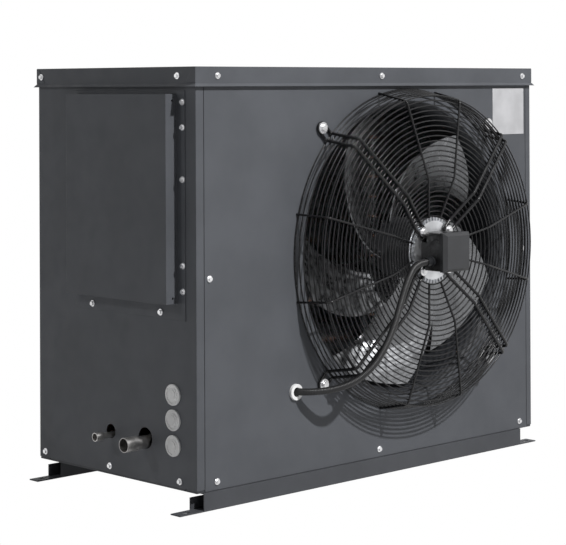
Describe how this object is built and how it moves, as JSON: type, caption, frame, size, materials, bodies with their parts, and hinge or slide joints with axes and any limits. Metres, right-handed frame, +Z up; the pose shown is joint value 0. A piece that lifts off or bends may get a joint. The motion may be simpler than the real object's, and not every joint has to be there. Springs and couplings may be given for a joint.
{
  "type": "refrigeration condensing unit",
  "caption": "Air-cooled refrigeration condensing unit: sheet-metal cabinet on foot rails, front axial fan under a domed wire guard, service side with pipe stubs and electrical cover.",
  "frame": {"origin": "centre of the four foot slots on the floor", "axes": "+Z up, -Y out of the fan side, +X to the right seen from the fan side"},
  "size_m": [1.174, 0.7038, 0.925],
  "materials": {
    "panel_paint": "satin",
    "rail_paint": "satin",
    "zinc_sheet": "satin",
    "wire_black": "gloss",
    "screw_zinc": "satin",
    "fan_plastic": "satin",
    "nozzle_paint": "satin",
    "cast_aluminium": "satin",
    "blade_aluminium": "satin",
    "rotor_paint": "satin",
    "bearing_steel": "polished",
    "box_plastic": "satin",
    "box_lid_plastic": "satin",
    "pale_rubber": "matte",
    "dark_rubber": "matte",
    "plate_white": "satin",
    "fin_aluminium": "satin",
    "copper": "satin",
    "stub_metal": "satin",
    "valve_brass": "satin"
  },
  "bodies": {
    "cabinet": {"base_pan": "rail_paint", "cable_gland": "fan_plastic", "cable_plugs": "pale_rubber", "circuit_breaker": "fan_plastic", "coil_end_plates": "zinc_sheet", "coil_fins": "fin_aluminium", "coil_guards": "wire_black", "coil_headers": "copper", "coil_return_bends": "copper", "coil_tubes": "copper", "compressor": "rotor_paint", "compressor_base": "rotor_paint", "compressor_bolts": "zinc_sheet", "compressor_mounts": "dark_rubber", "compressor_terminal_cover": "fan_plastic", "conduit": "fan_plastic", "contactor": "fan_plastic", "control_box": "zinc_sheet", "control_cover": "panel_paint", "corner_posts": "rail_paint", "cover_screws": "screw_zinc", "crankcase_heater": "dark_rubber", "din_rail": "zinc_sheet", "discharge_pipe": "copper", "fan_speed_controller": "cast_aluminium", "front_panel": "panel_paint", "front_rail": "rail_paint", "grommet": "pale_rubber", "guard_bolts": "screw_zinc", "guard_ribs": "wire_black", "guard_rings": "wire_black", "left_side_panel": "panel_paint", "lid": "panel_paint", "lid_screws": "screw_zinc", "liquid_line": "copper", "liquid_receiver": "rotor_paint", "liquid_stub": "stub_metal", "liquid_valve_body": "valve_brass", "motor_arms": "wire_black", "motor_bolts": "screw_zinc", "motor_stator": "cast_aluminium", "nameplate": "plate_white", "nozzle_ring": "nozzle_paint", "panel_screws": "screw_zinc", "partition": "zinc_sheet", "rear_panel": "panel_paint", "rear_rail": "rail_paint", "right_side_panel": "panel_paint", "sight_glass_and_drier": "copper", "suction_pipe": "copper", "suction_stub": "stub_metal", "suction_valve_body": "valve_brass", "terminal_box": "box_plastic", "terminal_box_lid": "box_lid_plastic", "terminal_strip": "fan_plastic"},
    "fan": {"motor_rotor": "rotor_paint", "motor_bearings": "bearing_steel", "fan_blades": "blade_aluminium"},
    "suction_ball": {"suction_valve_ball": "bearing_steel"},
    "liquid_ball": {"liquid_valve_ball": "bearing_steel"}
  },
  "joints": [
    {"name": "fan_spin", "type": "hinge", "parent": "cabinet", "child": "fan", "pos_m": [0.1175, -0.2545, 0.508], "axis": [0, -1, 0], "continuous": true},
    {"name": "suction_valve_turn", "type": "hinge", "parent": "cabinet", "child": "suction_ball", "pos_m": [-0.4865, -0.0885, 0.215], "axis": [0, -1, 0], "range_deg": [0, 90]},
    {"name": "liquid_valve_turn", "type": "hinge", "parent": "cabinet", "child": "liquid_ball", "pos_m": [-0.4825, 0.0285, 0.126], "axis": [0, 0, 1], "range_deg": [0, 90]}
  ]
}
